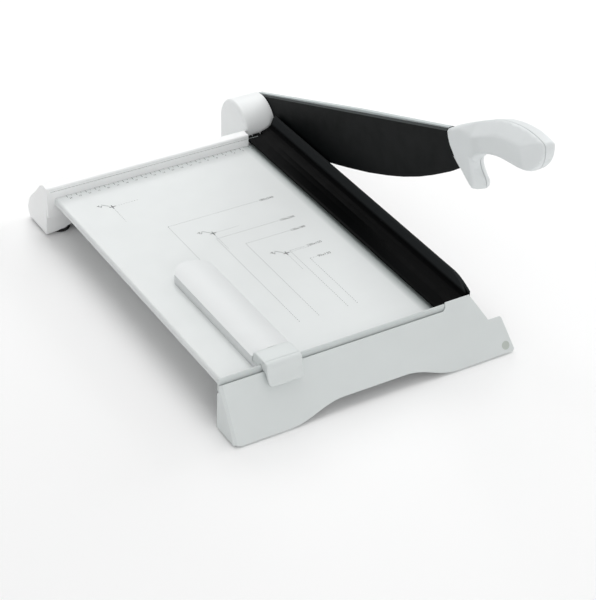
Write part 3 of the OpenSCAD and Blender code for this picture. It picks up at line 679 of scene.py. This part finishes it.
def rounded_prism(name, profile, keep, x0, x1, cut):
    """Runs a (Y, Z) profile along X with rounded ends; points in keep are not inset."""
    points = vectors(profile)
    inward = inward_steps(points, keep)
    left_end = []
    for k in range(ROUND_STEPS + 1):
        a = math.pi / 2 * k / ROUND_STEPS
        left_end.append((x0 + END_ROUND * (1 - math.cos(a)), END_ROUND * (1 - math.sin(a))))
    middle = [(x0 + (x1 - x0) * part, 0.0) for part in (0.25, 0.5, 0.75)]
    right_end = [(x1 - (x - x0), inset) for x, inset in reversed(left_end)]
    rings = left_end + middle + right_end
    mid, half = (x0 + x1) / 2, (x1 - x0) / 2
    verts = []
    for x, inset in rings:
        for q, step in zip(points, inward):
            narrow = (half - cut(q.y)) / half
            r = q + step * inset
            verts.append(at(mid + (x - mid) * narrow, r.x, r.y))
    count = len(points)
    faces = []
    for i in range(len(rings) - 1):
        for j in range(count):
            a, b = i * count + j, i * count + (j + 1) % count
            faces.append((a, b, b + count, a + count))
    faces.append(tuple(range(count)))
    faces.append(tuple(reversed(range((len(rings) - 1) * count, len(rings) * count))))
    ob = mesh_object(name, verts, faces, looks["head_plastic"])
    face_outwards(ob, largest_face=4)
    sharpen(ob, 42)
    return ob


head_x0, head_x1 = ((corner[0] - CUT_X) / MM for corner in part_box("gauge_head"))


def gauge_head():
    back = [(0.6, 9.2), (0.6, 4.1), (13.0, 4.1), (13.0, 11.4), (12.6, 12.6), (11.8, 13.4),
            (10.4, 13.95), (8.4, 14.25), (5.6, 14.42), (2, 14.5), (-2, 14.5), (-5.98, 14.5)]
    relief = arc(DRUM_R + DRUM_GAP, 76, -5, 12)[1:]
    profile = back + relief
    # The foot and the hollow that the drum turns in keep their shape to the ends
    keep = {0, 1, 2} | set(range(len(back), len(profile)))
    ob = rounded_prism("gauge_head_shell", profile, keep, head_x0, head_x1, no_cut)
    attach(ob, "backgauge")
    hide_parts("gauge_head")


def lock_lever():
    drum = arc(DRUM_R, -60, 180, 30)
    tab = [(-12.4, 7.6), (-12.7, 5.6), (-13.0, 3.9), (-13.5, 2.4), (-14.6, -0.3), (-15.4, -2.4),
           (-16.1, -4.3), (-16.2, -5.2), (-15.8, -5.9), (-14.9, -6.1), (-13.6, -4.2),
           (-11.6, -0.6), (-9.3, 3.2), (-6.6, 4.9)]
    keep = {i for i, q in enumerate(drum) if q[0] > PIN.x + 1.0}
    ob = rounded_prism("lock_lever_shell", drum + tab, keep, head_x0, head_x1, corner_cut)
    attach(ob, "lever")
    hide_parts("lock_lever")


gauge_head()
lock_lever()


# ------------------------------------------------------------------ side lay's painted shadow line
def lay_seam():
    """A thin line along the top edge of the side lay: painted shadow where the top meets the front
    face.
    """
    lo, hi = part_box("side_lay")
    left = lo[0] + 1 * MM
    near, far = lo[1] + 1.1 * MM, lo[1] + 1.7 * MM
    z = hi[2] + INK_LIFT * MM
    verts = [(left, near, z), (hi[0], near, z), (hi[0], far, z), (left, far, z)]
    ob = mesh_object("lay_seam", verts, [(0, 1, 2, 3)], looks["edge_shadow"], smooth=False)
    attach(ob, "base")


lay_seam()


# ------------------------------------------------------------------ hinge cover: one rounded shell
def cover_shell():
    centre_y, radius = 377.5, 28.5
    x0, x1 = -33.5, -0.5
    mouth_y, mouth_z = 351.6, 1.6   # open at the front, below this height
    foot_z = -30.0
    end_round, end_steps, end_flatness = 3.4, 6, 0.75
    arc_steps = 56

    def ring(inset, x):
        r = radius - inset
        points = [(centre_y - r, mouth_z)]
        for k in range(arc_steps + 1):
            a = math.pi * k / arc_steps
            if r * math.sin(a) > mouth_z or a > math.pi / 2:
                points.append((centre_y - r * math.cos(a), r * math.sin(a)))
        points += [(centre_y + r, z) for z in (-10, -20, foot_z)]
        return [at(x, y, z) for y, z in points]

    rings = []
    for k in range(end_steps + 1):
        a = math.pi / 2 * k / end_steps
        inset = end_round * (1 - math.sin(a)) + (0.9 if k == 0 else 0)
        rings.append(ring(inset, x0 + end_round * (1 - math.cos(a)) * end_flatness))
    rings += [ring(0, x) for x in (-26, -20, -14, -8, -3, x1)]
    count = len(rings[0])
    verts = [p for points in rings for p in points]
    faces = []
    for i in range(len(rings) - 1):
        for j in range(count - 1):
            a, b = i * count + j, i * count + j + 1
            faces.append((a, b, b + count, a + count))
    # The end is a fan around one point
    hub = len(verts)
    low = hub + 1
    verts += [at(x0, centre_y, 2), at(x0, mouth_y, mouth_z), at(x0, mouth_y, foot_z)]
    faces += [(j + 1, j, hub) for j in range(count - 1)]
    faces += [(0, low, hub), (low, low + 1, hub), (low + 1, count - 1, hub)]
    ob = mesh_object("hinge_cover_shell", verts, faces, looks["cover_plastic"])
    face_outwards(ob)
    wall = ob.modifiers.new("wall", "SOLIDIFY")
    wall.thickness = 2.1 * MM
    wall.offset = -1
    sharpen(ob, 40)
    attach(ob, "base")
    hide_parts("hinge_cover")


cover_shell()


# ------------------------------------------------------------------ stage
def floor_paper():
    look = bpy.data.materials.new("floor_paper")
    look.use_nodes = True
    bsdf = look.node_tree.nodes["Principled BSDF"]
    bsdf.inputs["Base Color"].default_value = (0.965, 0.965, 0.965, 1)
    bsdf.inputs["Roughness"].default_value = 0.85
    bsdf.inputs["Specular IOR Level"].default_value = 0.2
    return look


def studio_world(strength):
    world = bpy.data.worlds.new("studio")
    bpy.context.scene.world = world
    world.use_nodes = True
    background = world.node_tree.nodes["Background"]
    background.inputs["Color"].default_value = (1.0, 1.0, 1.0, 1)
    background.inputs["Strength"].default_value = strength


def area(name, location, target, size, power):
    light = bpy.data.lights.new(name, "AREA")
    light.shape = "RECTANGLE"
    light.size, light.size_y = size
    light.energy = power
    ob = bpy.data.objects.new(name, light)
    bpy.context.scene.collection.objects.link(ob)
    ob.location = location
    ob.rotation_mode = "QUATERNION"
    ob.rotation_quaternion = (Vector(target) - Vector(location)).to_track_quat("-Z", "Y")


FLOOR = 12.0                    # half the floor's side in metres
corners = [(-FLOOR, -FLOOR, 0), (FLOOR, -FLOOR, 0), (FLOOR, FLOOR, 0), (-FLOOR, FLOOR, 0)]
mesh_object("floor", corners, [(0, 1, 2, 3)], floor_paper(), smooth=False)
studio_world(0.54)
area("key", (0.2, 0.5, 2.0), (0, 0, 0), (1.3, 1.3), 12)
area("side", (1.8, 0.3, 0.9), (0, 0, 0), (0.8, 0.8), 9)
area("fill", (-0.4, -2.2, 1.0), (0, 0, 0.05), (1.8, 1.0), 10)
area("back", (0.4, 1.7, 1.5), (0, 0.1, 0.05), (1.4, 0.9), 10)


# ------------------------------------------------------------------ camera
def camera(eye, yaw, pitch, roll, lens):
    """Looks along yaw (clockwise from +Y) and down by pitch, in degrees; lens in mm."""
    yaw, pitch, roll = (math.radians(angle) for angle in (yaw, pitch, roll))
    forward = Vector((math.sin(yaw) * math.cos(pitch), math.cos(yaw) * math.cos(pitch),
                      -math.sin(pitch)))
    level = Vector((math.cos(yaw), -math.sin(yaw), 0))
    up = level.cross(forward)
    x_axis = math.cos(roll) * level + math.sin(roll) * up
    y_axis = math.cos(roll) * up - math.sin(roll) * level
    data = bpy.data.cameras.new("camera")
    data.sensor_width = 36.0
    data.sensor_fit = "AUTO"
    data.lens = lens
    data.clip_start = 0.05
    data.clip_end = 50
    ob = bpy.data.objects.new("camera", data)
    bpy.context.scene.collection.objects.link(ob)
    columns = (x_axis, y_axis, -forward, eye)
    ob.matrix_world = Matrix([[c[i] for c in columns] for i in range(3)] + [[0, 0, 0, 1]])
    return ob


scene = bpy.context.scene
scene.camera = camera(eye=at(-865.17, -1117.22, 967.74), yaw=31.462, pitch=34.646, roll=1.532,
                      lens=114.78)
scene.view_settings.view_transform = "Standard"
scene.view_settings.look = "None"
scene.view_settings.exposure = 0.0
